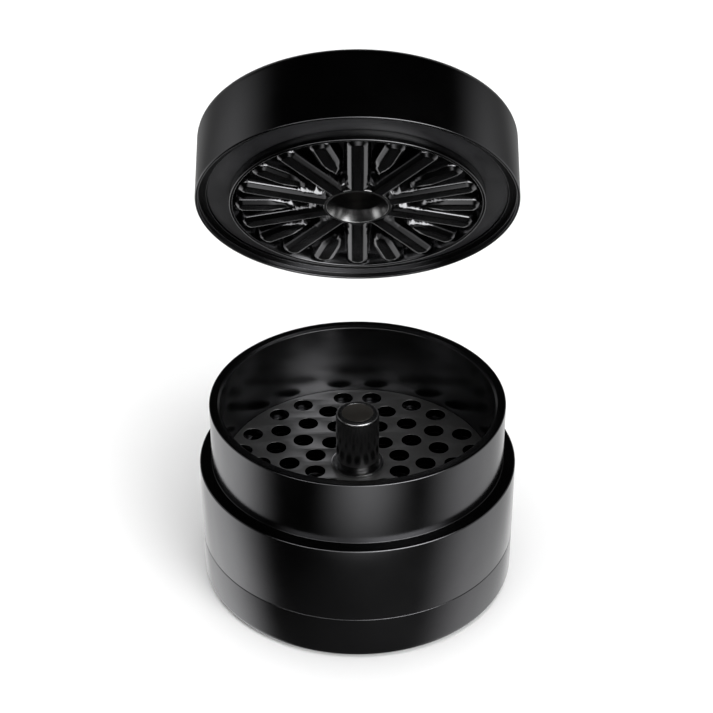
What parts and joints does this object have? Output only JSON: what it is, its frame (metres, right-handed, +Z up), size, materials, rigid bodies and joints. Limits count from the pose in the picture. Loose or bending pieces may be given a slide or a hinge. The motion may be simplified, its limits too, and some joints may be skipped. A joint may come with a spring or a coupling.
{
  "type": "hand grinder",
  "caption": "Round black aluminium twist grinder: catch cup, screw-on chamber with perforated milling plate and centre post, and ribbed lid tipped back off its neck",
  "frame": {"origin": "centre of the catch cup's flat base, on the axis of the body", "axes": "+Z up along the body's axis, +Y towards the back, where the tipped lid is, +X to the right"},
  "size_m": [0.063, 0.0771, 0.1074],
  "materials": {
    "black_anodised": "polished black anodised aluminium",
    "plate_anodised": "satin black anodised aluminium",
    "rotor_anodised": "polished black anodised aluminium",
    "post_black_chrome": "polished dark chrome",
    "bright_steel": "turned stainless steel",
    "bush_steel": "turned stainless steel",
    "spring_steel": "bright spring steel strip",
    "magnet_nickel": "dull nickel plate",
    "seal_rubber": "black rubber",
    "glide_polymer": "black low-friction polymer, satin"
  },
  "bodies": {
    "cup": {"catch_cup": "black_anodised"},
    "seal": {"thread_seal": "seal_rubber"},
    "chamber": {"grinding_chamber": "black_anodised", "milling_plate": "plate_anodised", "plate_seal": "seal_rubber", "centre_post": "post_black_chrome", "post_collar": "bright_steel", "post_washer": "bright_steel", "post_screw": "bright_steel", "post_magnet": "magnet_nickel", "post_keeper": "bright_steel"},
    "glide": {"glide_ring": "glide_polymer"},
    "seat": {"spring_seat": "glide_polymer", "ring_spring": "spring_steel"},
    "lid": {"lid_shell": "black_anodised", "rotor": "rotor_anodised", "drive_pins": "bright_steel", "hub_bush": "bush_steel", "hub_magnet": "magnet_nickel", "magnet_keeper": "bright_steel"}
  },
  "joints": [
    {"name": "chamber_turn", "type": "hinge", "parent": "seal", "child": "chamber", "pos_m": [0, 0, 0.0096], "axis": [0, 0, 1], "range_deg": [0, 1080]},
    {"name": "chamber_rise", "type": "slide", "parent": "cup", "child": "seal", "axis": [0, 0, 1], "range_m": [0, 0.0045]},
    {"name": "lid_swing", "type": "hinge", "parent": "chamber", "child": "glide", "pos_m": [0, 0.0409, 0.0407], "axis": [1, 0, 0], "range_deg": [0, 56.8]},
    {"name": "lid_press", "type": "slide", "parent": "glide", "child": "seat", "axis": [0, 0.8368, 0.5476], "range_m": [-0.0117, 0], "stiffness_N_per_m": 300, "springref_m": 0.008, "deforming": ["ring_spring"]},
    {"name": "lid_turn", "type": "hinge", "parent": "seat", "child": "lid", "pos_m": [0, 0.01625, 0.07345], "axis": [0, 0.8368, 0.5476], "continuous": true}
  ],
  "couplings": [
    {"joint": "chamber_rise", "follows": "chamber_turn", "m_per_rad": 0.00023873}
  ]
}
